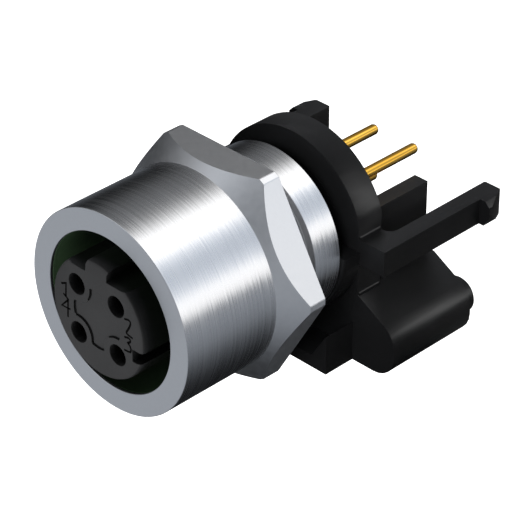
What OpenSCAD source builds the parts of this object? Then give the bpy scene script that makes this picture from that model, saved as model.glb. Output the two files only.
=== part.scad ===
// Round threaded panel connector with four sockets. Its solder pins leave at the back, through a
// circuit board that stands square to the axis and is gripped by two latch arms.
// The mating axis is Y. The front rim of the sleeve is the plane y = 0, +Y points to the board,
// +Z is up and +X is to the right, seen from the front.

/* [Sleeve and hexagon] */
// Outside diameter of the sleeve in front of the hexagon
sleeve_d = 15; // [14.8:0.1:15.6]
// Length of the sleeve in front of the hexagon
sleeve_len = 8; // [7.5:0.1:12]
// Width of the hexagon across its flats
hex_af = 16; // [15.8:0.1:17]
// Diameter to which the corners of the hexagon are turned
hex_corner_d = 18.2; // [17.6:0.1:18.4]
// Length of the hexagon along the axis
hex_len = 3; // [2:0.1:5]
// Diameter of the neck behind the hexagon
neck_d = 11.3; // [11:0.1:12]
// Length of the neck
neck_len = 2; // [1:0.1:4]
// Diameter of the spigot behind the neck
spigot_d = 12.56; // [12.3:0.02:12.9]
// Length of the spigot
spigot_len = 2.45; // [2:0.05:5]
// Bevel on the back edge of the spigot
spigot_bevel = 0.15; // [0.05:0.05:0.3]

/* [Bore] */
// Diameter of the mouth in front of the thread
mouth_d = 11.7; // [11.5:0.1:12]
// Crest diameter of the M12 x 1 thread inside the sleeve
thread_crest_d = 10.9; // [10.8:0.05:11.1]
// Depth of the thread's far end behind the rim
thread_end = 9; // [8:0.1:10]
// Thickness of the shoulder behind the thread
shoulder_t = 0.8; // [0.5:0.1:1.5]
// Width of the metal lip in front of the sealing sleeve
seal_lip = 0.2; // [0.1:0.05:0.5]
// Length of the sealing sleeve in the mouth
seal_len = 5.4; // [4:0.1:5.6]
// Wall of the sealing sleeve
seal_wall = 0.55; // [0.4:0.05:0.8]

/* [Insert] */
// Diameter of the insert in the sleeve
insert_d = 8.8; // [8.4:0.1:9]
// Length by which the insert's face stands in front of the rim
insert_proud = 1.05; // [0.2:0.05:1.5]
// Bevel round the insert's face
insert_bevel = 0.3; // [0.1:0.05:0.5]
// Diameter of the flange behind the shoulder
flange_d = 9.7; // [9.5:0.05:9.8]
// Thickness of the flange
flange_t = 2.2; // [1.5:0.1:2.6]
// Cord of the ring that seals the insert's shank against the shell
ring_cord = 0.87; // [0.7:0.01:1]
// Height of the keyway floors above the axis
key_floor = 3.35; // [3.2:0.05:3.7]
// Right side of the tongue between the two keyways
tongue_right = 1.03; // [0.6:0.05:1.4]
// Left side of the tongue between the two keyways, at its foot
tongue_left = 1; // [0.6:0.05:1.4]
// Width of the slot in the right side
side_slot_w = 0.95; // [0.6:0.05:1.2]
// Distance of the side slot's bottom from the axis
side_slot_floor = 3.35; // [3.1:0.05:3.9]
// Height of the side slot's middle below the axis
side_slot_drop = 1.2; // [1:0.05:1.25]
// Depth of the recess in the middle of the face
face_recess = 0.12; // [0.05:0.01:0.3]
// Diameter of that recess
face_recess_d = 4.4; // [4:0.1:4.6]
// Diameter of the land that stands round each socket
land_d = 2.7; // [2.4:0.05:2.9]

/* [Contacts] */
// Distance between the axes of neighbouring contacts
contact_pitch = 3.8; // [3.7:0.02:3.9]
// Outside diameter of the socket
socket_d = 1.5; // [1.4:0.02:1.6]
// Bore of the socket
socket_bore_d = 1.14; // [1.12:0.01:1.2]
// Length of the socket
socket_len = 8; // [7:0.1:9]
// Depth of the socket's bore
socket_bore_len = 6; // [5:0.1:6.5]
// Depth of the socket's end behind the insert's face
socket_depth = 0.7; // [0.3:0.05:1.2]
// Width of the slot that makes the socket springy
socket_slot_w = 0.2; // [0.1:0.02:0.3]
// Length of that slot
socket_slot_len = 4; // [3:0.1:5]
// Diameter of the stem where it leaves the socket, before it tapers to the solder pin
stem_d = 1.1; // [1:0.02:1.2]
// Diameter of the solder pin
pin_d = 0.8; // [0.6:0.02:0.9]
// Length by which the pin passes the back of the board
pin_past_board = 1.14; // [0.6:0.02:2]

/* [Board] */
// Thickness of the board
board_t = 1.6; // [1:0.1:2.4]
// Play of the board between its rest and the latches
board_play = 0.23; // [0.1:0.01:0.4]

/* [Holder] */
// Diameter of the half-round step that the spigot seats on
step_d = 13.2; // [12.9:0.02:13.7]
// Thickness of that step
step_t = 1.47; // [1:0.01:2]
// Rounding of the step's front edge
step_fillet = 0.2; // [0.1:0.05:0.4]
// Diameter of the plate
plate_d = 13.75; // [13.72:0.01:14.2]
// Width of the plate over its side flats
plate_w = 12.9; // [12.6:0.1:13.2]
// Thickness of the plate
plate_t = 2.25; // [1.8:0.05:3]
// Distance from the plate to the board
board_gap = 5.63; // [5:0.01:8]
// Width of the body below the plate
body_w = 20; // [19.6:0.1:22]
// Height of the body's top below the axis
body_top = 3.5; // [3.2:0.05:4]
// Height of the body's foot below the axis
body_bottom = 9.08; // [9.08:0.02:10]
// Height of the body's straight sides, from its foot up
body_side_h = 3.6; // [3.4:0.02:3.8]
// Radius of the body's upper corners
body_upper_r = 2; // [1.5:0.05:2.3]
// Radius of the body's lower corners
body_lower_r = 1.9; // [1:0.05:2]
// Width of the hollow in the body's back
core_w = 8.4; // [7:0.1:9]
// Height of that hollow
core_h = 3.2; // [2.4:0.05:3.6]
// Depth of that hollow
core_depth = 4.6; // [3:0.1:6]
// Distance between the locating pegs
peg_pitch = 15; // [14.6:0.1:15.4]
// Height of the pegs below the axis
peg_drop = 7.4; // [7.2:0.02:7.5]
// Diameter of a peg
peg_d = 2.8; // [2.4:0.05:3]
// Length of a peg
peg_len = 1.85; // [1.2:0.05:2.4]
// Bevel on the end of a peg
peg_bevel = 0.15; // [0.1:0.05:0.5]
// Distance of a standoff rib's inner side from the middle
rib_in = 4.4; // [4.3:0.05:4.8]
// Thickness of a standoff rib
rib_t = 1.2; // [0.8:0.05:1.4]
// Height of the ribs above the axis
rib_top = 1.87; // [1:0.01:2.4]

/* [Foot] */
// Width of the foot in front of the plate
foot_w = 12.2; // [11.6:0.1:12.6]
// Reach of the foot in front of the plate
foot_reach = 2.67; // [2:0.01:3.2]
// Diameter of the arch over the foot's legs
foot_arch_d = 17; // [16.4:0.05:17.4]
// Width between the foot's legs on the sole
foot_inside_w = 9.4; // [8.6:0.1:9.8]
// Width between the legs where they meet the arch
foot_inside_top_w = 12; // [11:0.1:12]
// Thickness of the foot's sole
foot_sole_t = 1; // [0.6:0.05:1.2]
// Height of the legs' tops below the axis
foot_top = 5.6; // [5.4:0.05:6.2]

/* [Latch arms] */
// Distance of an arm's inner side from the middle
arm_in = 7.5; // [7.3:0.05:7.8]
// Thickness of an arm
arm_t = 1.35; // [1:0.05:1.6]
// Height of an arm
arm_h = 2; // [1.6:0.05:2.4]
// Thickness of an arm's root
root_t = 2.06; // [1.6:0.02:2.2]
// Radius between an arm and its root
root_fillet = 0.75; // [0.4:0.05:1]
// Reach of the hook beyond the arm
hook_reach = 0.87; // [0.5:0.01:1.1]
// Length of the hook behind the board
hook_len = 2.07; // [1.6:0.01:3]
// Height of the hook's blunt nose
hook_nose = 0.35; // [0.2:0.05:0.6]
// Bevel on the upper edge of the hook
hook_bevel = 0.38; // [0.2:0.02:0.5]
// Width of the longer bevel on the lower edge of the hook
hook_under_w = 0.44; // [0.2:0.02:0.6]
// Height of that longer bevel
hook_under_h = 0.77; // [0.4:0.01:1]

/* [Hidden] */
$fn = 96;
// Clearance round a piece that slides into another
fit = 0.03;
// Gap at a face on which a piece seats
seat = 0.02;
// Overlap of volumes that are joined or cut
eps = 0.05;
// Straight pieces in a rounded corner of an outline
arc_steps = 6;

// Radii that follow from a fit
passage_r = insert_d / 2 + 2 * fit;
cavity_r = flange_d / 2 + fit;
boss_r = cavity_r - 2 * fit;
// Shank of the insert, which leaves room for the ring
shank_d = 2 * (cavity_r - ring_cord - 2 * fit);
boss_bore_r = shank_d / 2 + fit;
groove_r = mouth_d / 2 + seal_wall;

// Places along the axis, counted from the rim
hex_back = sleeve_len + hex_len;
neck_back = hex_back + neck_len;
spigot_back = neck_back + spigot_len;
shoulder_back = thread_end + shoulder_t;
flange_back = shoulder_back + seat + flange_t;
boss_front = flange_back + 2 * seat + ring_cord;
step_front = spigot_back + seat;
plate_front = step_front + step_t;
plate_back = plate_front + plate_t;
board_front = plate_back + board_gap;
catch_y = board_front + board_t + board_play;
insert_front = -insert_proud;
socket_front = insert_front + socket_depth;
socket_back = socket_front + socket_len;
stem_back = plate_back;
pin_tip = board_front + board_t + pin_past_board;

silver = [0.78, 0.79, 0.81];
black = [0.08, 0.08, 0.09];
charcoal = [0.22, 0.22, 0.23];
green = [0.09, 0.14, 0.09];
gold = [0.83, 0.66, 0.28];

// Turns a profile of [radius, place along Y] round the mating axis
module turned(profile) {
    rotate([-90, 0, 0]) rotate_extrude() polygon(profile);
}

// A rod along Y between two places, at [x, z]
module rod(d, from, to, at = [0, 0]) {
    translate([at[0], from, at[1]]) rotate([-90, 0, 0]) cylinder(d = d, h = to - from);
}

// Extrudes an outline drawn in X and Z between two places along Y
module slab(from, to) {
    translate([0, to, 0]) rotate([90, 0, 0]) linear_extrude(to - from) children();
}

// The same piece on the left and on the right
module both_sides() {
    children();
    mirror([1, 0, 0]) children();
}

// The points of one corner [x, y, radius] between its two neighbours
function unit(v) = v / norm(v);
function flat(p) = [p[0], p[1]];
function swing(a) = a > 180 ? a - 360 : a < -180 ? a + 360 : a;
function corner_arc(p, q, s) =
    let (u = unit(flat(p) - flat(q)), v = unit(flat(s) - flat(q)))
    let (half = acos(u * v) / 2, c = flat(q) + unit(u + v) * q[2] / sin(half))
    let (start = flat(q) + u * q[2] / tan(half) - c, end = flat(q) + v * q[2] / tan(half) - c)
    let (a = atan2(start[1], start[0]), turn = swing(atan2(end[1], end[0]) - a))
    [for (k = [0:arc_steps]) c + q[2] * [cos(a + turn * k / arc_steps), sin(a + turn * k / arc_steps)]];

// An outline whose corners are given as [x, y, radius], with radius 0 for a sharp one
function rounded(corners) = let (n = len(corners))
    [for (i = [0:n - 1]) each corners[i][2] == 0 ? [flat(corners[i])]
        : corner_arc(corners[(i + n - 1) % n], corners[i], corners[(i + 1) % n])];

// Places of the contacts 1 to 4 in X and Z, clockwise from the upper left
contact_at = [for (s = [[-1, 1], [1, 1], [1, -1], [-1, -1]]) contact_pitch / 2 * s];

module shell_blank() {
    cone_len = (hex_corner_d - sleeve_d) / 2;
    intersection() {
        turned([
            [0, 0],
            [sleeve_d / 2, 0],
            [sleeve_d / 2, sleeve_len],
            [hex_corner_d / 2, sleeve_len + cone_len],
            [hex_corner_d / 2, hex_back],
            [0, hex_back],
        ]);
        union() {
            rod(hex_af / cos(30), 0, hex_back + eps, $fn = 6);
            rod(sleeve_d, -eps, sleeve_len);
        }
    }
    rod(neck_d, hex_back - eps, neck_back + eps);
    turned([
        [0, neck_back],
        [spigot_d / 2, neck_back],
        [spigot_d / 2, spigot_back - spigot_bevel],
        [spigot_d / 2 - spigot_bevel, spigot_back],
        [0, spigot_back],
    ]);
}

// Turned body: sleeve, hexagon, neck and spigot, bored through in steps
module shell() color(silver) {
    seal_back = seal_lip + seal_len;
    lead_in = (mouth_d - thread_crest_d) / 2;
    difference() {
        shell_blank();
        turned([
            [0, -eps],
            [mouth_d / 2, -eps],
            [mouth_d / 2, seal_lip],
            [groove_r, seal_lip],
            [groove_r, seal_back],
            [mouth_d / 2, seal_back],
            [thread_crest_d / 2, seal_back + lead_in],
            [thread_crest_d / 2, thread_end],
            [passage_r, thread_end],
            [passage_r, shoulder_back],
            [cavity_r, shoulder_back],
            [cavity_r, spigot_back + eps],
            [0, spigot_back + eps],
        ]);
    }
}

// Sealing sleeve in the groove of the mouth
module bore_seal() color(green) {
    turned([
        [mouth_d / 2, seal_lip + seat],
        [groove_r - fit, seal_lip + seat],
        [groove_r - fit, seal_lip + seal_len - seat],
        [mouth_d / 2, seal_lip + seal_len - seat],
    ]);
}

// Two keyways with a tongue between them, whose flanks lean in, and a slot in the right side
module keyways() {
    outside = insert_d;
    lean = 0.35;
    flank_h = insert_d / 2 - key_floor;
    flank = [for (share = [[0, 0], [0.15, 0.5], [0.5, 0.8], [1, 1]])
        [lean * share[0], key_floor + flank_h * share[1]]];
    polygon([
        for (step = flank) [tongue_right + step[0], step[1]],
        [tongue_right + lean, outside],
        [outside, outside],
        [outside, key_floor],
    ]);
    polygon([
        for (step = flank) [-tongue_left + step[0], step[1]],
        [-tongue_left + lean, outside],
        [-outside, outside],
        [-outside, key_floor + lean],
        [-tongue_left - 2 * lean, key_floor],
    ]);
    translate([side_slot_floor, -side_slot_drop - side_slot_w / 2]) square([outside, side_slot_w]);
}

// Recess in the middle of the face, which leaves a round land about each socket
module face_relief() {
    difference() {
        rod(face_recess_d, insert_front - eps, insert_front + face_recess);
        for (at = contact_at) rod(land_d, insert_front - 2 * eps, insert_front + face_recess + eps, at);
    }
}

// Contact carrier: keyed front, flange behind the shoulder and shank through the holder
module insert() color(charcoal) {
    difference() {
        turned([
            [0, insert_front],
            [insert_d / 2 - insert_bevel, insert_front],
            [insert_d / 2 - insert_bevel * (1 - sin(45)), insert_front + insert_bevel * (1 - cos(45))],
            [insert_d / 2, insert_front + insert_bevel],
            [insert_d / 2, shoulder_back + seat],
            [flange_d / 2, shoulder_back + seat],
            [flange_d / 2, flange_back],
            [shank_d / 2, flange_back],
            [shank_d / 2, plate_back],
            [0, plate_back],
        ]);
        slab(insert_front - eps, thread_end) keyways();
        face_relief();
        for (at = contact_at) {
            rod(socket_d + 2 * fit, insert_front - eps, socket_back + seat, at);
            stem_hole(at);
        }
    }
}

// Tapered hole for the stem of one contact, open at the back of the plate
module stem_hole(at) {
    translate([at[0], 0, at[1]]) turned([
        [0, socket_back],
        [stem_d / 2 + fit, socket_back],
        [stem_d / 2 + fit, socket_back + seat],
        [pin_d / 2 + fit, stem_back + eps],
        [0, stem_back + eps],
    ]);
}

// Ring that seals the insert against the holder's boss
module insert_ring() color(black) {
    middle_r = (shank_d / 2 + cavity_r) / 2;
    rotate([-90, 0, 0]) rotate_extrude()
        translate([middle_r, (flange_back + boss_front) / 2]) circle(d = ring_cord);
}

// Slotted socket, stem and solder pin, turned in one piece
module contact(number) color(gold) {
    at = contact_at[number - 1];
    tip_r = pin_d / 4;
    translate([at[0], 0, at[1]]) difference() {
        turned([
            [socket_bore_d / 2, socket_front],
            [socket_d / 2, socket_front],
            [socket_d / 2, socket_back],
            [stem_d / 2, socket_back],
            [pin_d / 2, stem_back],
            [pin_d / 2, pin_tip - tip_r],
            [pin_d / 2 - tip_r * (1 - sin(45)), pin_tip - tip_r * (1 - cos(45))],
            [pin_d / 2 - tip_r, pin_tip],
            [0, pin_tip],
            [0, socket_front + socket_bore_len],
            [socket_bore_d / 2, socket_front + socket_bore_len],
        ]);
        rotate([0, 45, 0]) translate([-socket_d, socket_front - eps, -socket_slot_w / 2])
            cube([2 * socket_d, socket_slot_len + eps, socket_slot_w]);
    }
}

module plate_outline() {
    intersection() {
        circle(d = plate_d);
        square([plate_w, 2 * plate_d], center = true);
    }
    translate([-plate_w / 2, -body_top - eps]) square([plate_w, body_top + eps]);
}

module body_outline() {
    side_top = -body_bottom + body_side_h;
    half = body_w / 2;
    polygon(rounded([
        [-plate_w / 2, -body_top, 0],
        [-half, side_top, body_upper_r],
        [-half, -body_bottom, body_lower_r],
        [half, -body_bottom, body_lower_r],
        [half, side_top, body_upper_r],
        [plate_w / 2, -body_top, 0],
    ]));
}

// Half-round step below the axis, on which the spigot seats
module step() {
    step_r = step_d / 2;
    intersection() {
        turned([
            [0, step_front],
            for (i = [0:arc_steps]) let (a = 90 * i / arc_steps)
                [step_r - step_fillet * (1 - sin(a)), step_front + step_fillet * (1 - cos(a))],
            [step_r, plate_front + eps],
            [0, plate_front + eps],
        ]);
        translate([-step_d, 0, -2 * step_d]) cube([2 * step_d, plate_back, 2 * step_d]);
    }
}

// Foot in front of the plate: a sole and two legs, which flare up to an arch round the mating axis
module foot() {
    sole_top = -body_bottom + foot_sole_t;
    arch_meets = -sqrt(pow(foot_arch_d / 2, 2) - pow(foot_inside_top_w / 2, 2));
    slab(plate_front - foot_reach, plate_front + eps) difference() {
        translate([-foot_w / 2, -body_bottom]) square([foot_w, body_bottom - foot_top]);
        circle(d = foot_arch_d);
        polygon([
            [-foot_inside_w / 2, sole_top],
            [foot_inside_w / 2, sole_top],
            [foot_inside_top_w / 2, arch_meets],
            [-foot_inside_top_w / 2, arch_meets],
        ]);
    }
}

// Section of the right latch arm in X and Y
module arm_outline() {
    arm_out = arm_in + arm_t;
    polygon(rounded([
        [plate_w / 2 - eps, plate_front, 0],
        [arm_out, plate_front, 0],
        [arm_out, catch_y, 0],
        [arm_out + hook_reach, catch_y, 0],
        [arm_out + hook_reach, catch_y + hook_nose, 0],
        [arm_out + hook_bevel / 4, catch_y + hook_len, 0.15],
        [arm_in, catch_y + hook_len, 0.15],
        [arm_in, plate_front + root_t, root_fillet],
        [plate_w / 2 - eps, plate_front + root_t, 0],
    ]));
}

// Front view of the right latch arm, with the bevels of its hook
module arm_profile() {
    hook_out = arm_in + arm_t + hook_reach;
    half = arm_h / 2;
    polygon([
        [0, -half],
        [hook_out - hook_under_w, -half],
        [hook_out, -half + hook_under_h],
        [hook_out, half - hook_bevel],
        [hook_out - hook_bevel, half],
        [0, half],
    ]);
}

// One latch arm with its hook behind the board
module latch_arm() {
    intersection() {
        translate([0, 0, -arm_h]) linear_extrude(2 * arm_h) arm_outline();
        slab(0, catch_y + hook_len + eps) arm_profile();
    }
}

module peg() {
    turned([
        [0, board_front - eps],
        [peg_d / 2, board_front - eps],
        [peg_d / 2, board_front + peg_len - peg_bevel],
        [peg_d / 2 - peg_bevel, board_front + peg_len],
        [0, board_front + peg_len],
    ]);
}

// Rib that keeps the board square, from the plate to the board
module standoff_rib() {
    translate([rib_in, plate_back - eps, -body_top - eps])
        cube([rib_t, board_gap + eps, rib_top + body_top + eps]);
}

// Moulded holder: boss, plate, body, foot, ribs, pegs and two latch arms in one piece
module holder() color(black) {
    core_mid = -(body_top + body_bottom) / 2;
    difference() {
        union() {
            rod(2 * boss_r, boss_front, plate_front + eps);
            step();
            slab(plate_front, plate_back) plate_outline();
            slab(plate_front, board_front) body_outline();
            foot();
            both_sides() {
                latch_arm();
                standoff_rib();
                translate([peg_pitch / 2, 0, -peg_drop]) peg();
            }
        }
        rod(2 * boss_bore_r, boss_front - eps, plate_back + eps);
        slab(board_front - core_depth, board_front + eps)
            translate([0, core_mid]) square([core_w, core_h], center = true);
    }
}

shell();
bore_seal();
insert();
insert_ring();
contact(1);  // contact_1
contact(2);  // contact_2
contact(3);  // contact_3
contact(4);  // contact_4
holder();
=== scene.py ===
# %% [markdown]
# Panel connector, dressed for its portrait
#
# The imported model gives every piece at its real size, in metres. This notebook adds what a
# drawing in solids leaves out: rounded edges that catch the light, a thread, turned and satin
# metal, moulded plastic and gold. Nothing here moves or resizes a piece.

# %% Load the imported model
import math

import bmesh
import bpy
import numpy as np
from mathutils import Euler, Matrix, Vector


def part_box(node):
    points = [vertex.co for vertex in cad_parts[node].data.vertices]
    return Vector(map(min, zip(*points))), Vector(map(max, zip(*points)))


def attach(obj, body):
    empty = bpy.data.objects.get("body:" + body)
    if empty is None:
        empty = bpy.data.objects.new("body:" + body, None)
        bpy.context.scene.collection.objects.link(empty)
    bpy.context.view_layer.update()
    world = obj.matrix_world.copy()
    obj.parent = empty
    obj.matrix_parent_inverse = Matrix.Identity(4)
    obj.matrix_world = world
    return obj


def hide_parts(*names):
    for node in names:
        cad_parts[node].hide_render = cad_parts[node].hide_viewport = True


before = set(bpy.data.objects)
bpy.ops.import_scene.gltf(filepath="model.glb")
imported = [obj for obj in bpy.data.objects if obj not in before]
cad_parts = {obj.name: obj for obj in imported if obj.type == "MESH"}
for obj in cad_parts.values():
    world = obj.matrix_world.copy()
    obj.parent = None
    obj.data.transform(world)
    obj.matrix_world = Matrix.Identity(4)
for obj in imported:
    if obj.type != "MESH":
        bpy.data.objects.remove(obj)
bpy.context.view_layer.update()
MM = 0.001
print("nodes:", sorted(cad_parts))

# %% [markdown]
# The camera
#
# The photograph is a long-lens view from the front right and above. Its place was solved from
# the rim, the hexagon's corners, the pins and the latch arms, whose places in space are known.
# A long lens flattens the perspective, so the angle matters more than the distance.

# %% Camera
VIEW_AZIMUTH = math.radians(45.296)
VIEW_ELEVATION = math.radians(32.896)
VIEW_ROLL = math.radians(-0.179)
CAMERA_PLACE = Vector((107.534, -92.865, 96.121)) * MM
SENSOR_MM = 36.0
LENS_MM = 183.83


def make_camera():
    """A camera that looks against the direction given by azimuth, elevation and roll."""
    data = bpy.data.cameras.new("portrait_camera")
    data.sensor_width = SENSOR_MM
    data.lens = LENS_MM
    data.clip_start = 0.005
    data.clip_end = 10.0
    camera = bpy.data.objects.new("portrait_camera", data)
    bpy.context.scene.collection.objects.link(camera)
    turn = Euler((math.pi / 2 - VIEW_ELEVATION, 0.0, VIEW_AZIMUTH), "XYZ").to_quaternion()
    roll = Euler((0.0, 0.0, VIEW_ROLL), "XYZ").to_quaternion()
    camera.rotation_mode = "QUATERNION"
    camera.rotation_quaternion = turn @ roll
    camera.location = CAMERA_PLACE
    bpy.context.scene.camera = camera
    return camera


camera = make_camera()
print("camera at mm:", [round(v / MM, 1) for v in camera.location])

# %% [markdown]
# Surfaces from arrays
#
# Most pieces of this connector are turned on a lathe, so their surface is a closed profile
# carried round the mating axis, which is Y. One array holds the whole surface: its rows follow
# the profile and its columns go round. A machined edge gets two rows a few hundredths of a
# millimetre apart, like the broken edge that a deburring tool leaves, and stays crisp.

# %% Grid helpers
def grid_faces(rows, columns):
    """Quads between neighbouring rows and columns of a grid that closes on itself both ways."""
    row = np.arange(rows)[:, None]
    column = np.arange(columns)[None, :]
    next_row = (row + 1) % rows
    next_column = (column + 1) % columns
    corners = (row * columns + column, row * columns + next_column,
               next_row * columns + next_column, next_row * columns + column)
    return np.stack([np.broadcast_to(c, (rows, columns)) for c in corners], -1).reshape(-1, 4)


def mesh_piece(name, points, faces, materials, zone_of_face=None, crisp_deg=None):
    """A mesh with its normals outwards. With crisp_deg it is smooth, apart from the edges that
    turn by more than that. Without it every face is flat."""
    mesh = bpy.data.meshes.new(name)
    mesh.from_pydata(points, [], faces)
    for material in materials:
        mesh.materials.append(material)
    if zone_of_face is not None:
        mesh.polygons.foreach_set("material_index", zone_of_face.astype(np.int32))
    mesh.polygons.foreach_set("use_smooth", np.full(len(mesh.polygons), crisp_deg is not None))
    edit = bmesh.new()
    edit.from_mesh(mesh)
    bmesh.ops.recalc_face_normals(edit, faces=edit.faces)
    edit.to_mesh(mesh)
    edit.free()
    if crisp_deg is not None:
        mesh.set_sharp_from_angle(angle=math.radians(crisp_deg))
    piece = bpy.data.objects.new(name, mesh)
    bpy.context.scene.collection.objects.link(piece)
    print(f"{name}: {len(mesh.polygons)} faces")
    return piece


def closed_piece(name, points, materials, zone_of_row=None, crisp_deg=25.0):
    """A closed mesh from points[row, column, xyz], where each row's faces take the material of
    its zone."""
    rows, columns = points.shape[:2]
    zone_of_face = None if zone_of_row is None else np.repeat(zone_of_row, columns)
    return mesh_piece(name, points.reshape(-1, 3), grid_faces(rows, columns), materials,
                      zone_of_face, crisp_deg)


def round_the_axis(radius, along, angles):
    """Points at a radius from the Y axis and a place along it, at angles from +X towards +Z:
    X is the radius times the cosine of the angle, and Z the radius times its sine."""
    radius, along, angles = np.broadcast_arrays(radius, along, angles)
    x = radius * np.cos(angles)
    z = radius * np.sin(angles)
    return np.stack([x, along, z], -1) * MM


def with_edges(profile, near=0.05):
    """The profile with every corner replaced by two points, a short way before and after it."""
    profile = np.asarray(profile, float)
    before = np.roll(profile, 1, 0) - profile
    after = np.roll(profile, -1, 0) - profile
    reach_before = np.linalg.norm(before, axis=1, keepdims=True)
    reach_after = np.linalg.norm(after, axis=1, keepdims=True)
    first = profile + before / reach_before * np.minimum(near, reach_before / 3)
    second = profile + after / reach_after * np.minimum(near, reach_after / 3)
    return np.stack([first, second], 1).reshape(-1, 2)


# %% [markdown]
# Finishes
#
# Each finish is a small group of nodes on Object coordinates, which are metres here, so the
# scale of a noise is written in features per metre. The lathe leaves fine lines round the axis.
# A noise that is stretched across X and Z and squeezed along Y gives such lines, because it
# changes quickly along the axis and slowly round it.

# %% Finish helpers
def new_material(name):
    """An empty material with its Principled shader and the output joined."""
    material = bpy.data.materials.new(name)
    material.use_nodes = True
    tree = material.node_tree
    tree.nodes.clear()
    shader = tree.nodes.new("ShaderNodeBsdfPrincipled")
    output = tree.nodes.new("ShaderNodeOutputMaterial")
    tree.links.new(shader.outputs["BSDF"], output.inputs["Surface"])
    return material, tree, shader


def object_noise(tree, scale_xyz, detail=3.0, roughness=0.5):
    """Noise on Object coordinates, with its own number of features per metre along X, Y and Z."""
    place = tree.nodes.new("ShaderNodeTexCoord")
    mapping = tree.nodes.new("ShaderNodeMapping")
    mapping.inputs["Scale"].default_value = scale_xyz
    noise = tree.nodes.new("ShaderNodeTexNoise")
    noise.inputs["Scale"].default_value = 1.0
    noise.inputs["Detail"].default_value = detail
    noise.inputs["Roughness"].default_value = roughness
    tree.links.new(place.outputs["Object"], mapping.inputs["Vector"])
    tree.links.new(mapping.outputs["Vector"], noise.inputs["Vector"])
    return noise.outputs["Fac"]


def spread(tree, factor, low, high, from_low=0.3, from_high=0.7):
    """The factor stretched from the middle of its range to low ... high."""
    node = tree.nodes.new("ShaderNodeMapRange")
    node.inputs["From Min"].default_value = from_low
    node.inputs["From Max"].default_value = from_high
    node.inputs["To Min"].default_value = low
    node.inputs["To Max"].default_value = high
    tree.links.new(factor, node.inputs["Value"])
    return node.outputs["Result"]


def between(tree, factor, dark, light):
    """A colour between dark and light, by the factor."""
    node = tree.nodes.new("ShaderNodeMix")
    node.data_type = "RGBA"
    node.inputs["A"].default_value = (*dark, 1.0)
    node.inputs["B"].default_value = (*light, 1.0)
    tree.links.new(factor, node.inputs["Factor"])
    return node.outputs["Result"]


def bump(tree, height, distance_mm):
    """A normal that follows a height in millimetres."""
    node = tree.nodes.new("ShaderNodeBump")
    node.inputs["Distance"].default_value = distance_mm * MM
    tree.links.new(height, node.inputs["Height"])
    return node.outputs["Normal"]


# %% [markdown]
# Metals
#
# The shell has three finishes. Where the tool has passed, fine lines draw the highlight out across
# them. A bump could do that, but bumps this fine sparkle and need many samples. So each line turns
# the normal a little round the axis instead, and the shader's anisotropy does the rest. The rim and
# the hexagon are satin, and the undercut behind the hexagon is dull, with painted shade in its
# darker grey.

# %% Lathe lines in the normal
def tilted_round(tree, factor, reach):
    """The normal, turned round the axis by up to reach radians either way, by the factor: each
    lathe line then throws its reflection a little further round than the next."""
    surface = tree.nodes.new("ShaderNodeNewGeometry")
    across = tree.nodes.new("ShaderNodeVectorMath")
    across.operation = "CROSS_PRODUCT"
    across.inputs[1].default_value = (0.0, 1.0, 0.0)
    tree.links.new(surface.outputs["Normal"], across.inputs[0])
    scaled = tree.nodes.new("ShaderNodeVectorMath")
    scaled.operation = "SCALE"
    tree.links.new(across.outputs["Vector"], scaled.inputs[0])
    tree.links.new(spread(tree, factor, -reach, reach), scaled.inputs["Scale"])
    added = tree.nodes.new("ShaderNodeVectorMath")
    added.operation = "ADD"
    tree.links.new(surface.outputs["Normal"], added.inputs[0])
    tree.links.new(scaled.outputs["Vector"], added.inputs[1])
    unit = tree.nodes.new("ShaderNodeVectorMath")
    unit.operation = "NORMALIZE"
    tree.links.new(added.outputs["Vector"], unit.inputs[0])
    return unit.outputs["Vector"]


# %% Turned metal
LATHE_LINES = (18.0, 6200.0, 18.0)
LATHE_TONE = (60.0, 9000.0, 60.0)
LINE_TILT = 0.031
TURNED_GREYS = ((0.575, 0.575, 0.58), (0.635, 0.635, 0.64))


def turned_metal():
    """Plated metal with lathe lines, whose highlight is drawn out across the lines."""
    material, tree, shader = new_material("turned_metal")
    lines = object_noise(tree, LATHE_LINES, detail=4.0, roughness=0.65)
    tone = object_noise(tree, LATHE_TONE, detail=2.0)
    grey = between(tree, spread(tree, tone, 0.0, 1.0), *TURNED_GREYS)
    tree.links.new(grey, shader.inputs["Base Color"])
    tree.links.new(spread(tree, tone, 0.23, 0.33), shader.inputs["Roughness"])
    tree.links.new(tilted_round(tree, lines, LINE_TILT), shader.inputs["Normal"])
    tangent = tree.nodes.new("ShaderNodeTangent")
    tangent.direction_type = "RADIAL"
    tangent.axis = "Y"
    tree.links.new(tangent.outputs["Tangent"], shader.inputs["Tangent"])
    shader.inputs["Metallic"].default_value = 1.0
    shader.inputs["Anisotropic"].default_value = 0.75
    shader.inputs["Anisotropic Rotation"].default_value = 0.25
    return material


# %% Satin metal
SATIN_GRAIN = (2500.0, 2500.0, 2500.0)
SATIN_GREYS = ((0.585, 0.585, 0.59), (0.615, 0.615, 0.62))


def satin_metal():
    """The hexagon and the rim: the same plating with no lathe lines, so its sheen is even."""
    material, tree, shader = new_material("satin_metal")
    grain = object_noise(tree, SATIN_GRAIN, detail=2.0)
    grey = between(tree, spread(tree, grain, 0.0, 1.0), *SATIN_GREYS)
    tree.links.new(grey, shader.inputs["Base Color"])
    tree.links.new(spread(tree, grain, 0.37, 0.43), shader.inputs["Roughness"])
    shader.inputs["Metallic"].default_value = 1.0
    return material


# %% Recess metal, with painted shade
RECESS_LINES = (120.0, 6000.0, 120.0)
# Painted shade: greys darker than the turned metal stand for the hexagon's shadow.
RECESS_PAINTED_SHADE_GREYS = ((0.38, 0.38, 0.385), (0.50, 0.50, 0.505))


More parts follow.
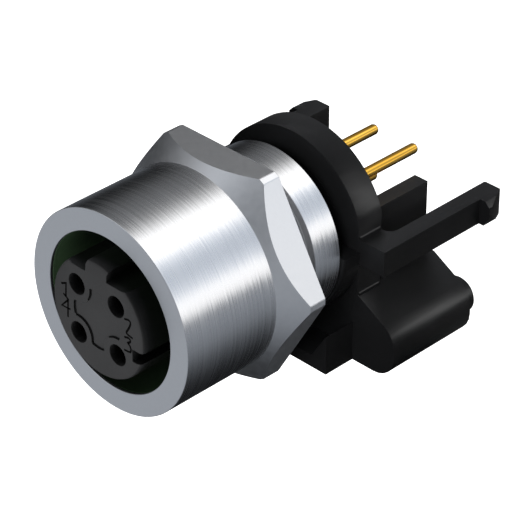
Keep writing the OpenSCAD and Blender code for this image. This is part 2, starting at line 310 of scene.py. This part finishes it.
def recess_metal_painted_shade():
    """The undercut behind the hexagon: duller, and darker with painted shade and painted
    reflection, where the hexagon shades it and its dark back shows in it.
    """
    material, tree, shader = new_material("recess_metal_painted_shade")
    lines = object_noise(tree, RECESS_LINES)
    grey = between(tree, spread(tree, lines, 0.0, 1.0), *RECESS_PAINTED_SHADE_GREYS)
    tree.links.new(grey, shader.inputs["Base Color"])
    tree.links.new(spread(tree, lines, 0.35, 0.45), shader.inputs["Roughness"])
    shader.inputs["Metallic"].default_value = 1.0
    return material


# %% [markdown]
# Plastics, rubber and gold
#
# A moulded face is never one flat black. The eroded grain of the mould breaks up its gloss, and a
# slow cloud makes some places a little shinier than others. Gold is a metal with a warm colour.
# The sockets lie deep in dark holes, so along Y the gold gives way to painted shade there, and the
# insert's sides take painted shade the same way.

# %% Colour by depth, for painted shade
def along_y(tree, near_colour, far_colour, near_mm, far_mm):
    """A colour that goes from one to the other between two places on Y. Each is three numbers or
    the output of a node."""
    place = tree.nodes.new("ShaderNodeTexCoord")
    split = tree.nodes.new("ShaderNodeSeparateXYZ")
    tree.links.new(place.outputs["Object"], split.inputs["Vector"])
    node = tree.nodes.new("ShaderNodeMix")
    node.data_type = "RGBA"
    depth = spread(tree, split.outputs["Y"], 0.0, 1.0, near_mm * MM, far_mm * MM)
    tree.links.new(depth, node.inputs["Factor"])
    for socket, colour in (("A", near_colour), ("B", far_colour)):
        if isinstance(colour, tuple):
            node.inputs[socket].default_value = (*colour, 1.0)
        else:
            tree.links.new(colour, node.inputs[socket])
    return node.outputs["Result"]


# %% Plastics and rubber
MOULD_GRAIN = (3500.0, 3500.0, 3500.0)
MOULD_CLOUD = (180.0, 180.0, 180.0)
MOULD_GRAIN_MM = 0.0015
ROUGHNESS_SWING = 0.04


def moulded(name, dark, light, roughness, gloss=0.5, painted_side_shade=None):
    """A moulded plastic with a faint eroded grain. With painted_side_shade, a colour and two places
    on Y, the colour takes over between them: painted shade that darkens the sides where they lie
    deep in shadow."""
    material, tree, shader = new_material(name)
    grain = object_noise(tree, MOULD_GRAIN, detail=2.0)
    cloud = object_noise(tree, MOULD_CLOUD, detail=2.0)
    colour = between(tree, spread(tree, cloud, 0.0, 1.0), dark, light)
    if painted_side_shade:
        colour = along_y(tree, colour, *painted_side_shade)
    tree.links.new(colour, shader.inputs["Base Color"])
    uneven = spread(tree, cloud, roughness - ROUGHNESS_SWING, roughness + ROUGHNESS_SWING)
    tree.links.new(uneven, shader.inputs["Roughness"])
    tree.links.new(bump(tree, grain, MOULD_GRAIN_MM), shader.inputs["Normal"])
    shader.inputs["Specular IOR Level"].default_value = gloss
    return material


# %% Gold
WIRE_LINES = (4000.0, 150.0, 4000.0)
GOLD_TONES = ((0.58, 0.31, 0.032), (0.78, 0.46, 0.070))
# Painted shade: towards the front of each socket, deep in its hole, the gold gives way to near
# black.
SOCKET_PAINTED_SHADE = (0.010, 0.008, 0.006)
PAINTED_SHADE_UNTIL_MM = 5.0
GOLD_FROM_MM = 9.0


def gold():
    """Gold plating over drawn wire, whose fine lines run along Y, with painted shade in the socket.
    """
    material, tree, shader = new_material("contact_gold")
    lines = object_noise(tree, WIRE_LINES)
    plated = between(tree, spread(tree, lines, 0.0, 1.0), *GOLD_TONES)
    tone = along_y(tree, SOCKET_PAINTED_SHADE, plated, PAINTED_SHADE_UNTIL_MM, GOLD_FROM_MM)
    tree.links.new(tone, shader.inputs["Base Color"])
    tree.links.new(spread(tree, lines, 0.12, 0.20), shader.inputs["Roughness"])
    shader.inputs["Metallic"].default_value = 0.92
    return material


# %% All finishes
turned = turned_metal()
satin = satin_metal()
# The undercut's darker grey is painted shade.
recess = recess_metal_painted_shade()
holder_black = moulded("holder_black", (0.0058, 0.0060, 0.0064), (0.0076, 0.0078, 0.0084), 0.36)
# The insert's sides darken along Y towards the back: painted shade, where they lie deep in the
# bore.
insert_grey = moulded("insert_grey", (0.037, 0.0375, 0.039), (0.044, 0.0445, 0.046), 0.42,
                      painted_side_shade=((0.012, 0.012, 0.0125), -0.9, -0.5))
seal_green = moulded("seal_green", (0.040, 0.074, 0.038), (0.055, 0.100, 0.050), 0.34)
ring_black = moulded("ring_black", (0.008, 0.008, 0.008), (0.012, 0.012, 0.012), 0.5)
# Painted shade: near black for the shade in the number grooves and on the recess walls.
painted_shade_black = moulded("painted_shade_black", (0.002, 0.002, 0.002), (0.004, 0.004, 0.004), 0.9,
                       gloss=0.0)
contact_gold = gold()
print("materials:", len(bpy.data.materials))

# %% [markdown]
# The shell
#
# The shell is turned from hexagon bar. Where the turning tool has passed, the surface is round,
# and where it hasn't, the bar's six flats remain. So the radius at each angle is the smaller of
# two: the tool's radius and the hexagon's, which is its half width over the cosine of the angle
# to the nearest flat. The tool's cone then ends in the curved lines that such flanges have.

# %% Shell sizes, in millimetres
SLEEVE_R = 7.5
SLEEVE_LEN = 8.0
HEX_HALF_WIDTH = 8.0
HEX_CORNER_R = 9.1
HEX_BACK = 11.0
NECK_R = 5.65
NECK_BACK = 13.0
SPIGOT_R = 6.28
SPIGOT_BACK = 15.45
SPIGOT_BEVEL = 0.15
MOUTH_R = 5.85
GROOVE_R = 6.4
SEAL_LIP = 0.2
SEAL_BACK = 5.6
THREAD_CREST_R = 5.45
THREAD_ROOT_R = 6.0
THREAD_PITCH = 1.0
THREAD_GROOVE_SHARE = 0.85
THREAD_FLANK_SHARE = 0.7
THREAD_FADE = 0.5
THREAD_END = 9.0
PASSAGE_R = 4.46
SHOULDER_BACK = 9.8
CAVITY_R = 4.88
EDGE = 0.03
print("shell length in mm:", SPIGOT_BACK)


# %% Hexagon and thread
def hexagon_angles(step_deg=1.5, near_deg=0.25):
    """Angles round the axis, with extra ones where a flat meets the turned corner."""
    corner_half = 30.0 - math.degrees(math.acos(HEX_HALF_WIDTH / HEX_CORNER_R))
    corner_marks = [corner_half - near_deg, corner_half + near_deg]
    marks = [60.0 * k + sign * mark for k in range(6) for mark in corner_marks for sign in (-1, 1)]
    even = [a for a in np.arange(0.0, 360.0, step_deg)
            if min(abs((a - m + 180) % 360 - 180) for m in marks) > step_deg / 3]
    return np.radians(np.sort(np.mod(np.array(marks + even), 360.0)))


def hexagon_radius(angles):
    """The smaller of the turned corner radius and the hexagon's own radius at each angle."""
    to_flat = np.mod(angles, math.pi / 3) - math.pi / 6
    return np.minimum(HEX_HALF_WIDTH / np.cos(to_flat), HEX_CORNER_R)


def thread_rows(angles, front, back, rows_per_turn=14):
    """A thread whose groove follows a helix: its depth is a wave of the place along the axis,
    less the share of a turn that the angle makes, and it fades in and out at both ends."""
    along = np.linspace(back, front, int((back - front) / THREAD_PITCH * rows_per_turn))[:, None]
    wave = np.abs(np.mod(along / THREAD_PITCH - angles / (2 * math.pi), 1.0) - 0.5) * 2
    groove = np.clip((THREAD_GROOVE_SHARE - wave) / THREAD_FLANK_SHARE, 0.0, 1.0)
    fade = np.clip(np.minimum(along - front, back - along) / THREAD_FADE, 0.0, 1.0)
    radius = THREAD_CREST_R + (THREAD_ROOT_R - THREAD_CREST_R) * groove * fade
    return radius, np.broadcast_to(along, radius.shape)


# %% Shell surface
LATHED, SATIN, RECESSED = 0, 1, 2


def shell_surface():
    """All rows of the shell, from the rim along the outside to the back and through the bore. The
    cone goes out and back by the same reach, so it slopes at 45 degrees."""
    angles = hexagon_angles()
    ones = np.ones_like(angles)
    hexagon = hexagon_radius(angles)
    radius, along, zone = [], [], []

    def row(r, y, material):
        radius.append(r * ones)
        along.append(y * ones)
        zone.append(material)

    row(SLEEVE_R - EDGE, 0.0, SATIN)
    row(SLEEVE_R, EDGE, LATHED)
    for y in np.linspace(0.5, SLEEVE_LEN - 0.4, 12):
        row(SLEEVE_R, y, LATHED)
    row(SLEEVE_R, SLEEVE_LEN, SATIN)
    for share in (0.25, 0.5, 0.75, 1.0):
        reach = (hexagon - SLEEVE_R) * share
        row(SLEEVE_R + reach, SLEEVE_LEN + reach, SATIN)
    cone_back = SLEEVE_LEN + hexagon - SLEEVE_R
    for share in (0.33, 0.66):
        row(hexagon, cone_back + (HEX_BACK - cone_back) * share, SATIN)
    row(hexagon, HEX_BACK - EDGE, SATIN)
    row(hexagon - EDGE, HEX_BACK, SATIN)
    row(0.5 * (hexagon + NECK_R), HEX_BACK, SATIN)
    row(NECK_R + EDGE, HEX_BACK, RECESSED)
    row(NECK_R, HEX_BACK + EDGE, RECESSED)
    row(NECK_R, 0.5 * (HEX_BACK + NECK_BACK), RECESSED)
    row(NECK_R, NECK_BACK - EDGE, RECESSED)
    row(NECK_R + EDGE, NECK_BACK, RECESSED)
    row(SPIGOT_R - EDGE, NECK_BACK, LATHED)
    for y in np.linspace(NECK_BACK + EDGE, SPIGOT_BACK - SPIGOT_BEVEL, 6):
        row(SPIGOT_R, y, LATHED)
    row(SPIGOT_R - SPIGOT_BEVEL, SPIGOT_BACK, SATIN)
    row(CAVITY_R + EDGE, SPIGOT_BACK, SATIN)
    row(CAVITY_R, SPIGOT_BACK - EDGE, SATIN)
    row(CAVITY_R, SHOULDER_BACK + EDGE, SATIN)
    row(CAVITY_R - EDGE, SHOULDER_BACK, SATIN)
    row(PASSAGE_R, SHOULDER_BACK, SATIN)
    row(PASSAGE_R, THREAD_END, SATIN)
    row(THREAD_CREST_R - EDGE, THREAD_END, SATIN)
    lead_in = MOUTH_R - THREAD_CREST_R
    thread_r, thread_y = thread_rows(angles, SEAL_BACK + lead_in, THREAD_END - EDGE)
    for r, y in zip(thread_r, thread_y):
        row(r, y, SATIN)
    row(MOUTH_R, SEAL_BACK + EDGE, SATIN)
    row(MOUTH_R + EDGE, SEAL_BACK, SATIN)
    row(GROOVE_R, SEAL_BACK, SATIN)
    row(GROOVE_R, SEAL_LIP, SATIN)
    row(MOUTH_R, SEAL_LIP, SATIN)
    row(MOUTH_R, EDGE, SATIN)
    row(MOUTH_R + EDGE, 0.0, SATIN)
    row(0.5 * (MOUTH_R + SLEEVE_R), 0.0, SATIN)
    return round_the_axis(np.array(radius), np.array(along), angles), np.array(zone)


points, zones = shell_surface()
shell = closed_piece("shell_turned", points, [turned, satin, recess], zones, crisp_deg=12.0)
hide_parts("shell")
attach(shell, "root")

# %% [markdown]
# The sealing sleeve
#
# A dark green elastomer sleeve lies in a groove just behind the rim. A plain ring, it is made as
# the shell is. It is the only colour in the mouth, and shows there as a faint green gleam.

# %% Sealing sleeve
SEAL_CLEAR = 0.03


def seal_surface():
    """A rectangle with broken edges, a little clear of its groove, carried round the axis."""
    profile = with_edges([
        (MOUTH_R, SEAL_LIP + SEAL_CLEAR),
        (GROOVE_R - SEAL_CLEAR, SEAL_LIP + SEAL_CLEAR),
        (GROOVE_R - SEAL_CLEAR, SEAL_BACK - SEAL_CLEAR),
        (MOUTH_R, SEAL_BACK - SEAL_CLEAR),
    ], near=0.08)
    angles = np.linspace(0, 2 * math.pi, 144, endpoint=False)
    return round_the_axis(profile[:, :1], profile[:, 1:], angles)


seal = closed_piece("bore_seal_ring", seal_surface(), [seal_green])
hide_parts("bore_seal")
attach(seal, "root")

# %% [markdown]
# The moulded pieces
#
# The holder and the insert already have their true form in the model. What they lack is the
# small radius that a mould leaves on each edge. A copy of the node is merged, its flat faces are
# joined, and a bevel rounds every edge that is sharper than 30 degrees.

# %% A rounded copy of a node
SHARP_DEG = 30
FLAT_DEG = 0.6
SAME_POINT_MM = 0.0005


def rounded_copy(node, name, material, radius_mm, segments=3):
    """A merged copy of a node with a bevel of the given radius on its sharp edges."""
    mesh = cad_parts[node].data.copy()
    mesh.name = name
    edit = bmesh.new()
    edit.from_mesh(mesh)
    bmesh.ops.remove_doubles(edit, verts=edit.verts, dist=SAME_POINT_MM * MM)
    bmesh.ops.dissolve_limit(edit, angle_limit=math.radians(FLAT_DEG), verts=edit.verts,
                             edges=edit.edges)
    bmesh.ops.recalc_face_normals(edit, faces=edit.faces)
    edit.to_mesh(mesh)
    edit.free()
    mesh.materials.clear()
    mesh.materials.append(material)
    mesh.polygons.foreach_set("use_smooth", np.ones(len(mesh.polygons), bool))
    piece = bpy.data.objects.new(name, mesh)
    bpy.context.scene.collection.objects.link(piece)
    bevel = piece.modifiers.new("mould_radius", "BEVEL")
    bevel.width = radius_mm * MM
    bevel.segments = segments
    bevel.limit_method = "ANGLE"
    bevel.angle_limit = math.radians(SHARP_DEG)
    bevel.harden_normals = True
    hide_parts(node)
    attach(piece, "root")
    print(f"{name}: {len(mesh.polygons)} faces before its bevel")
    return piece


# %% Holder, insert and contacts
HOLDER_RADIUS = 0.12
INSERT_RADIUS = 0.09
CONTACT_RADIUS = 0.04

holder = rounded_copy("holder", "holder_moulded", holder_black, HOLDER_RADIUS)
insert = rounded_copy("insert", "insert_moulded", insert_grey, INSERT_RADIUS)
contacts = [rounded_copy(f"contact_{number}", f"contact_plated_{number}", contact_gold,
                         CONTACT_RADIUS, segments=2)
            for number in (1, 2, 3, 4)]
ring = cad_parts["insert_ring"]
ring.data.materials.clear()
ring.data.materials.append(ring_black)

# %% [markdown]
# Fillets beside the plate
#
# Where the arm's root and the body's top run into the plate, the mould leaves a small concave
# radius. It is too small for the model and catches a thin line of light, so it is a piece of its
# own: a quarter round that hollows out the corner, drawn along Y.

# %% Fillets
PLATE_SIDE_X = 6.45
PLATE_FRONT = 16.94
PLATE_BACK = 19.19
ROOT_TOP_Z = 1.0
BODY_TOP_Z = -3.5


def fillet_surface(side, floor_z, radius=0.2, sunk=0.04, steps=8, from_end=0.13):
    """A corner's two legs, a little inside the faces, closed by an arc whose centre lies out in
    the open, at the radius from both faces. The same section at both ends makes the bar."""
    turn = np.linspace(math.pi, 1.5 * math.pi, steps)
    inside_x, inside_z = PLATE_SIDE_X - sunk, floor_z - sunk
    arc_x = PLATE_SIDE_X + radius * (1 + np.cos(turn))
    arc_z = floor_z + radius * (1 + np.sin(turn))
    x = np.concatenate([arc_x, [PLATE_SIDE_X + radius, inside_x, inside_x]])
    z = np.concatenate([arc_z, [inside_z, inside_z, floor_z + radius]])
    y = np.array([PLATE_FRONT + from_end, PLATE_BACK - from_end])[:, None]
    return np.stack(np.broadcast_arrays(side * x, y, z), -1) * MM


def fillet_piece():
    """Four bars in one mesh, with smooth arcs and a flat cap at each end."""
    points, faces, start = [], [], 0
    for side in (-1, 1):
        for floor_z in (ROOT_TOP_Z, BODY_TOP_Z):
            surface = fillet_surface(side, floor_z)
            count = surface.shape[1]
            faces += (grid_faces(2, count)[:count] + start).tolist()
            faces += [list(range(end, end + count)) for end in (start, start + count)]
            points.append(surface.reshape(-1, 3))
            start += 2 * count
    return mesh_piece("holder_fillets", np.vstack(points), faces, [holder_black], crisp_deg=40.0)


fillets = fillet_piece()
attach(fillets, "root")

# %% [markdown]
# The contact numbers
#
# Each contact has its number beside it on the face, as every insert of this kind does. A mould cuts
# them as fine grooves, which stay dark because little light gets into them. At this scale that
# shade is painted instead, as a dark ribbon that lies in the face: its strokes are straight lines,
# so a path of corner points with a width is enough.

# %% Contact numbers
FACE_Y = -1.05
STROKE_W = 0.16
LEAST_COSINE = 0.6
NUMBER_STROKES = {
    "1": [[(-3.38, 1.29), (-2.97, 1.48), (-3.04, 0.42)], [(-3.23, 0.49), (-2.84, 0.27)]],
    "2": [[(2.77, 1.38), (3.16, 1.49), (3.33, 1.27), (3.02, 0.65), (2.77, 0.29), (3.38, 0.20)]],
    "3": [[(2.71, -0.06), (3.09, 0.06), (3.27, -0.17), (2.97, -0.39)],
          [(2.97, -0.39), (3.25, -0.65), (3.23, -1.0), (3.04, -1.07), (2.66, -1.10)]],
    "4": [[(-2.85, 0.19), (-3.50, -0.51), (-2.72, -0.46)], [(-2.85, 0.10), (-2.93, -1.12)]],
}


def stroke_surface(corners, width, proud=0.003, sunk=0.02):
    """A flat bar along the corner points. At each point it reaches half the width to both sides,
    square to the mean of the directions before and after, and further by one over the cosine of
    half the turn, so that it stays as wide."""
    corners = np.asarray(corners, float)
    along = np.diff(corners, axis=0)
    along /= np.linalg.norm(along, axis=1, keepdims=True)
    before = np.vstack([along[:1], along])
    after = np.vstack([along, along[-1:]])
    mean = before + after
    mean /= np.linalg.norm(mean, axis=1, keepdims=True)
    side = np.stack([-mean[:, 1], mean[:, 0]], -1) * (width / 2)
    side /= np.maximum(np.sum(mean * after, axis=1, keepdims=True), LEAST_COSINE)
    corners[0] -= along[0] * width / 2
    corners[-1] += along[-1] * width / 2
    section = [corners + side, corners - side, corners - side, corners + side]
    depth = [FACE_Y - proud, FACE_Y - proud, FACE_Y + sunk, FACE_Y + sunk]
    lines = [np.stack([line[:, 0], np.full(len(line), y), line[:, 1]], -1)
             for line, y in zip(section, depth)]
    return np.stack(lines, 1) * MM


def rounded_path(corners, rounds=2):
    """Corner cutting: each inner corner gives way to points a quarter of the way along the lines
    beside it, and the ends stay. Two rounds turn a bent line into a smooth curve."""
    corners = np.asarray(corners, float)
    for _ in range(rounds):
        near = 0.75 * corners[:-1] + 0.25 * corners[1:]
        far = 0.25 * corners[:-1] + 0.75 * corners[1:]
        inner = np.stack([near, far], 1).reshape(-1, 2)[1:-1]
        corners = np.vstack([corners[:1], inner, corners[-1:]])
    return corners


# %% Strokes as a piece
SECTION_CORNERS = 4


def stroke_piece(name, paths, width):
    """All strokes in one mesh: each is a run of four-sided rings with a cap at both ends."""
    points, faces, start = [], [], 0
    for path in paths:
        surface = stroke_surface(path, width)
        last = SECTION_CORNERS * (len(surface) - 1)
        sides = grid_faces(len(surface), SECTION_CORNERS)[:-SECTION_CORNERS] + start
        caps = np.array([[3, 2, 1, 0], [0, 1, 2, 3]]) + [[start], [start + last]]
        points.append(surface.reshape(-1, 3))
        faces.append(np.vstack([sides, caps]))
        start += last + SECTION_CORNERS
    piece = mesh_piece(name, np.vstack(points), np.vstack(faces), [painted_shade_black])
    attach(piece, "root")
    return piece


number_paths = [rounded_path(path) if digit in "23" else path
                for digit, strokes in NUMBER_STROKES.items() for path in strokes]
numbers = stroke_piece("contact_numbers", number_paths, STROKE_W)

# %% [markdown]
# Painted shade on the edge of the recess
#
# The middle of the face is sunk a little, and a round land stands about each socket. The walls
# between them that face up and to the right turn away from the front lamp and lie in shade, and a
# fine dark line of painted shade on top of them makes that shade bolder. Such a line is a run of
# points on a circle, kept where the wall faces that way.

# %% Painted shade lines on the recess walls
RECESS_R = 2.2
LAND_R = 1.35
SHADE_LINE_W = 0.09
UP_AND_RIGHT = np.array([0.69, 0.72])
FACES_ENOUGH = 0.2
RUN_STEP_DEG = 4.0
SHORTEST_RUN = 3
socket_at = np.array([[(low[k] + high[k]) / 2 / MM for k in (0, 2)]
                      for low, high in (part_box(f"contact_{number}") for number in (1, 2, 3, 4))])


def wall_runs(centre, radius, outward, kept):
    """Points all round a circle, cut into the runs that pass the test and whose wall faces up
    and to the right: outward is 1 where the wall faces away from the centre, and -1 inwards."""
    turn = np.radians(np.arange(0.0, 360.0, RUN_STEP_DEG))
    way = np.stack([np.cos(turn), np.sin(turn)], -1)
    points = centre + radius * way
    shown = kept(points) & (outward * way @ UP_AND_RIGHT > FACES_ENOUGH)
    first = np.flatnonzero(~shown)[0]
    points, shown = np.roll(points, -first, 0), np.roll(shown, -first)
    runs = np.split(points, np.flatnonzero(np.diff(shown.astype(int))) + 1)
    return [run for run in runs[1::2] if len(run) >= SHORTEST_RUN]


def off_the_lands(points):
    """True where a point lies outside the land of every socket."""
    away = np.linalg.norm(points[:, None, :] - socket_at[None, :, :], axis=2)
    return (away > LAND_R).all(axis=1)


def in_the_recess(points):
    """True where a point lies inside the sunk middle of the face."""
    return np.linalg.norm(points, axis=1) < RECESS_R


# Painted shade: dark lines on the walls that face away from the front lamp.
shade_line_paths = wall_runs(np.zeros(2), RECESS_R + SHADE_LINE_W / 2, -1, off_the_lands)
for centre in socket_at:
    shade_line_paths += wall_runs(centre, LAND_R - SHADE_LINE_W / 2, 1, in_the_recess)
edges = stroke_piece("recess_painted_shade_lines", shade_line_paths, SHADE_LINE_W)

# %% [markdown]
# The tent
#
# Metal shows its surroundings more than its own colour. A photographer puts it in a tent with
# bright and dark panels that run along the axis, and each panel becomes a band on the turned
# sleeve. Here the tent is a sphere that only reflections see, and only those of the metal and the
# gold. One set of panels runs round its sides and lights the turned faces, and another, mostly
# grey, closes its front and lights the rim and the cone of the hexagon.

# %% Panels: angle about Y in degrees, level, and how cool the light is
SIDE_PANELS = [
    (-180, 0.008, 1.0), (-168, 0.10, 1.0), (-152, 0.22, 1.0), (-136, 0.12, 1.0), (-120, 0.007, 1.0),
    (-95, 0.007, 1.0), (-74, 0.024, 1.0), (-54, 0.098, 1.0), (-34, 0.28, 1.0), (-14, 0.38, 1.0),
    (-4, 0.36, 0.8), (4, 1.75, 0.0), (17, 1.80, 0.1), (26, 1.16, 0.8), (38, 0.90, 1.0),
    (50, 0.91, 1.0), (60, 1.25, 0.8), (66, 1.95, 0.1), (90, 2.0, 0.0), (101, 0.90, 0.1),
    (111, 0.36, 0.2), (122, 0.23, 0.4), (141, 0.148, 0.4), (161, 0.033, 0.5), (180, 0.007, 1.0),
]
FRONT_PANELS = [
    (-180, 0.22, 0.8), (-160, 0.42, 0.8), (-139, 0.68, 0.8), (-112, 0.42, 0.9), (-92, 0.10, 1.0),
    (-72, 0.25, 1.0), (-43, 0.42, 1.0), (-15, 0.48, 0.9), (24, 0.38, 0.7), (40, 0.27, 0.8),
    (76, 0.26, 0.9), (96, 0.50, 0.9), (118, 1.20, 0.6), (134, 0.58, 0.5), (152, 0.36, 0.4),
    (180, 0.20, 0.8),
]
BRIGHTEST = 2.0
COOL_TINT = np.array([-0.09, -0.01, 0.11])
print("panels:", len(SIDE_PANELS), "round the sides,", len(FRONT_PANELS), "in front")

# %% Tent sizes, in metres
TENT_R = 0.16
FRONT_BEGINS_Y = -0.020
FRONT_FULL_Y = -0.062


def panel_curve(tree, share, panels):
    """The colour of the panels by angle: a level, cooler towards blue by the third number."""
    ramp = tree.nodes.new("ShaderNodeValToRGB")
    tree.links.new(share, ramp.inputs["Fac"])
    stops = ramp.color_ramp.elements
    for angle, _, _ in panels[1:-1]:
        stops.new((angle + 180) / 360)
    for stop, (angle, level, cool) in zip(stops, panels):
        stop.position = (angle + 180) / 360
        stop.color = (*((1 + COOL_TINT * cool) * level / BRIGHTEST), 1.0)
    return ramp.outputs["Color"]


def studio_tent():
    """A sphere seen by reflections only. Its brightness is a curve of the angle about Y, with
    one curve for the sides and another for the front, blended along Y."""
    bpy.ops.mesh.primitive_uv_sphere_add(segments=96, ring_count=48, radius=TENT_R)
    tent = bpy.context.object
    tent.name = "studio_tent"
    material = bpy.data.materials.new("tent_panels")
    material.use_nodes = True
    tree = material.node_tree
    tree.nodes.clear()
    place = tree.nodes.new("ShaderNodeTexCoord")
    split = tree.nodes.new("ShaderNodeSeparateXYZ")
    tree.links.new(place.outputs["Object"], split.inputs["Vector"])
    turn = tree.nodes.new("ShaderNodeMath")
    turn.operation = "ARCTAN2"
    tree.links.new(split.outputs["Z"], turn.inputs[0])
    tree.links.new(split.outputs["X"], turn.inputs[1])
    share = spread(tree, turn.outputs[0], 0.0, 1.0, -math.pi, math.pi)
    front = tree.nodes.new("ShaderNodeMapRange")
    front.interpolation_type = "SMOOTHSTEP"
    front.inputs["From Min"].default_value = FRONT_BEGINS_Y
    front.inputs["From Max"].default_value = FRONT_FULL_Y
    tree.links.new(split.outputs["Y"], front.inputs["Value"])
    mixed = tree.nodes.new("ShaderNodeMix")
    mixed.data_type = "RGBA"
    tree.links.new(front.outputs["Result"], mixed.inputs["Factor"])
    tree.links.new(panel_curve(tree, share, SIDE_PANELS), mixed.inputs["A"])
    tree.links.new(panel_curve(tree, share, FRONT_PANELS), mixed.inputs["B"])
    glow = tree.nodes.new("ShaderNodeEmission")
    glow.inputs["Strength"].default_value = BRIGHTEST
    tree.links.new(mixed.outputs["Result"], glow.inputs["Color"])
    output = tree.nodes.new("ShaderNodeOutputMaterial")
    tree.links.new(glow.outputs["Emission"], output.inputs["Surface"])
    tent.data.materials.append(material)
    tent.visible_camera = False
    tent.visible_diffuse = False
    tent.visible_shadow = False
    tent.visible_transmission = False
    return tent


# %% [markdown]
# Lamps
#
# Black plastic shows little of its surroundings. Soft lamps give its faces their level, and two
# dim strips and a wall that show in its gloss draw its edges. A photographer keeps a lamp off a
# piece with a black card. Light linking does the same here, and names the pieces that each light
# reaches.

# %% Lamp helpers
MIDDLE_MM = (0, 12, 0)
NEARLY_ON_THE_AXIS = 0.1


def soft_lamp(name, place_mm, width_mm, length_mm, watts, gleams=False):
    """A lamp that looks at the middle of the connector, with its length along Y as far as that
    goes. It is seen in reflections only where it gleams."""
    data = bpy.data.lights.new(name, "AREA")
    data.energy = watts
    data.shape = "RECTANGLE"
    data.size = width_mm * MM
    data.size_y = length_mm * MM
    lamp = bpy.data.objects.new(name, data)
    bpy.context.scene.collection.objects.link(lamp)
    lamp.location = Vector(place_mm) * MM
    back = (lamp.location - Vector(MIDDLE_MM) * MM).normalized()
    off_the_axis = math.hypot(back.x, back.z) > NEARLY_ON_THE_AXIS
    side = Vector((-back.z, 0, back.x)) if off_the_axis else Vector((1, 0, 0))
    side = (side - back * side.dot(back)).normalized()
    lamp.rotation_mode = "QUATERNION"
    lamp.rotation_quaternion = Matrix((side, back.cross(side), back)).transposed().to_quaternion()
    lamp.visible_glossy = gleams
    lamp.visible_camera = False
    return lamp


def lights_only(light, name, pieces):
    """Light linking: the light reaches the given pieces and no others."""
    group = bpy.data.collections.new(name)
    for piece in pieces:
        group.objects.link(piece)
    light.light_linking.receiver_collection = group


# %% [markdown]
# White surroundings
#
# The photograph has a plain white ground. The world and the floor are white to the camera, to
# gloss and through glass, and give the object only a little light, so the ground doesn't wash
# out what the lamps do.

# %% World and floor
WORLD_LIGHT = 0.10
FLOOR_LIGHT = 0.1
WHITE = 1.0
FLOOR_REACH = 3.0
FLOOR_Z = -0.20


def strength_when_seen(tree, unseen, seen):
    """The strength seen for camera, glossy and transmitted rays, and unseen for all others."""
    path = tree.nodes.new("ShaderNodeLightPath")
    level = path.outputs["Is Camera Ray"]
    for kind in ("Is Glossy Ray", "Is Transmission Ray"):
        either = tree.nodes.new("ShaderNodeMath")
        either.operation = "MAXIMUM"
        tree.links.new(level, either.inputs[0])
        tree.links.new(path.outputs[kind], either.inputs[1])
        level = either.outputs[0]
    return spread(tree, level, unseen, seen, 0.0, 1.0)


def white_world():
    """White behind the object, and a soft grey light on it."""
    world = bpy.data.worlds.new("studio_world")
    bpy.context.scene.world = world
    world.use_nodes = True
    tree = world.node_tree
    tree.nodes.clear()
    glow = tree.nodes.new("ShaderNodeBackground")
    glow.inputs["Color"].default_value = (1.0, 1.0, 1.0, 1.0)
    tree.links.new(strength_when_seen(tree, WORLD_LIGHT, WHITE), glow.inputs["Strength"])
    output = tree.nodes.new("ShaderNodeOutputWorld")
    tree.links.new(glow.outputs["Background"], output.inputs["Surface"])


def pale_floor():
    """A wide pale floor well below the connector, white to the camera."""
    corners = [(FLOOR_REACH * x, FLOOR_REACH * y, FLOOR_Z)
               for x, y in ((-1, -1), (1, -1), (1, 1), (-1, 1))]
    mesh = bpy.data.meshes.new("floor")
    mesh.from_pydata(corners, [], [(0, 1, 2, 3)])
    floor = bpy.data.objects.new("floor", mesh)
    bpy.context.scene.collection.objects.link(floor)
    material, tree, shader = new_material("floor_white")
    shader.inputs["Base Color"].default_value = (0.9, 0.9, 0.9, 1.0)
    shader.inputs["Roughness"].default_value = 0.9
    shader.inputs["Emission Color"].default_value = (1.0, 1.0, 1.0, 1.0)
    strength = strength_when_seen(tree, FLOOR_LIGHT, WHITE)
    tree.links.new(strength, shader.inputs["Emission Strength"])
    mesh.materials.append(material)


# %% Light the connector
LAMP_SIDE_MM = 110
plastics = [holder, fillets, insert, seal, ring, numbers, edges]
in_front = [insert, seal, ring, numbers, edges, shell, *contacts]
LAMPS = {
    "key_lamp": ((-150, 132, 231), 2.7, None),
    "front_lamp": ((-60, -290, -35), 0.95, in_front),
    "fill_lamp": ((126, -222, 138), 0.90, [holder, fillets]),
    "rear_lamp": ((-70, 290, -25), 1.3, [holder, insert]),
    "seal_lamp": ((110, -250, -110), 0.42, [seal]),
}
GLEAMS = {
    "side_strip": ((104, 103, 33), 44, 90, 0.026),
    "upper_strip": ((80, 103, 70), 44, 90, 0.007),
    "back_wall": ((0, 95, 4), 200, 200, 0.0075),
}
lights_only(studio_tent(), "pieces_in_the_tent", [shell, *contacts])
white_world()
pale_floor()
for name, (place_mm, watts, pieces) in LAMPS.items():
    lamp = soft_lamp(name, place_mm, LAMP_SIDE_MM, LAMP_SIDE_MM, watts)
    if pieces:
        lights_only(lamp, f"lit_by_{name}", pieces)
for name, (place_mm, width_mm, length_mm, watts) in GLEAMS.items():
    lamp = soft_lamp(name, place_mm, width_mm, length_mm, watts, gleams=True)
    lights_only(lamp, f"seen_in_{name}", plastics)
bpy.context.scene.view_settings.view_transform = "Standard"
print("lamps:", [*LAMPS, *GLEAMS])
